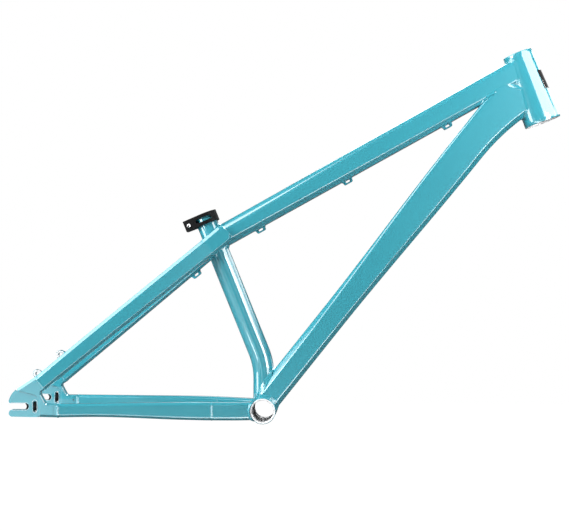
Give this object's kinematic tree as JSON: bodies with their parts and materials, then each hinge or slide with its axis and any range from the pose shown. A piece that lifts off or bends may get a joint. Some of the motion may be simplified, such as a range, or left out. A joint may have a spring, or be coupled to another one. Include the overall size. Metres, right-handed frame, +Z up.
{
  "type": "bicycle frame",
  "caption": "Welded aluminium hardtail frame with shaped tubes, slotted dropouts with axle tensioners, a disc brake mount and a seat clamp.",
  "frame": {"origin": "centre of the bottom bracket shell", "axes": "+X forward to the head tube, +Y to the rider's left along the bottom bracket's axis, +Z up"},
  "size_m": [0.8877, 0.1602, 0.6149],
  "materials": {
    "turquoise_paint": "gloss",
    "black_anodised": "satin",
    "bright_steel": "satin"
  },
  "bodies": {
    "frame": {"head_tube": "turquoise_paint", "head_badge": "black_anodised", "top_tube": "turquoise_paint", "down_tube": "turquoise_paint", "seat_tube": "turquoise_paint", "bottom_bracket_shell": "turquoise_paint", "seat_stay_right": "turquoise_paint", "seat_stay_left": "turquoise_paint", "seat_stay_cap_right": "turquoise_paint", "seat_stay_cap_left": "turquoise_paint", "seat_stay_bridge": "turquoise_paint", "chain_stay_right": "turquoise_paint", "chain_stay_left": "turquoise_paint", "dropout_right": "turquoise_paint", "dropout_left": "turquoise_paint", "disc_brake_mount": "turquoise_paint", "top_tube_cable_guides": "turquoise_paint", "seat_stay_cable_guide": "turquoise_paint"},
    "tensioner_right_nut": {"tensioner_nut_right": "black_anodised"},
    "tensioner_right_slider": {"tensioner_saddle_right": "black_anodised", "tensioner_stud_right": "bright_steel"},
    "tensioner_left_nut": {"tensioner_nut_left": "black_anodised"},
    "tensioner_left_slider": {"tensioner_saddle_left": "black_anodised", "tensioner_stud_left": "bright_steel"},
    "seat_clamp": {"seat_clamp_band": "black_anodised", "seat_clamp_barrel_nut": "bright_steel"},
    "clamp_bolt": {"seat_clamp_bolt": "bright_steel"}
  },
  "joints": [
    {"name": "tensioner_right_turn", "type": "hinge", "parent": "frame", "child": "tensioner_right_nut", "pos_m": [-0.3582, -0.0725, 0.0124], "axis": [1, 0, 0], "range_deg": [0, 3600]},
    {"name": "tensioner_right_slide", "type": "slide", "parent": "frame", "child": "tensioner_right_slider", "axis": [-1, 0, 0], "range_m": [0, 0.01]},
    {"name": "tensioner_left_turn", "type": "hinge", "parent": "frame", "child": "tensioner_left_nut", "pos_m": [-0.3582, 0.0725, 0.0124], "axis": [1, 0, 0], "range_deg": [0, 3600]},
    {"name": "tensioner_left_slide", "type": "slide", "parent": "frame", "child": "tensioner_left_slider", "axis": [-1, 0, 0], "range_m": [0, 0.01]},
    {"name": "seat_clamp_slide", "type": "slide", "parent": "frame", "child": "seat_clamp", "axis": [-0.3746, 0, 0.9272], "range_m": [0, 0.04]},
    {"name": "clamp_bolt_turn", "type": "hinge", "parent": "seat_clamp", "child": "clamp_bolt", "pos_m": [-0.12251, 0, 0.30155], "axis": [0, 1, 0], "range_deg": [0, 720]}
  ],
  "couplings": [
    {"joint": "tensioner_right_turn", "follows": "tensioner_right_slide", "rad_per_m": 6283.2},
    {"joint": "tensioner_left_turn", "follows": "tensioner_left_slide", "rad_per_m": 6283.2}
  ]
}
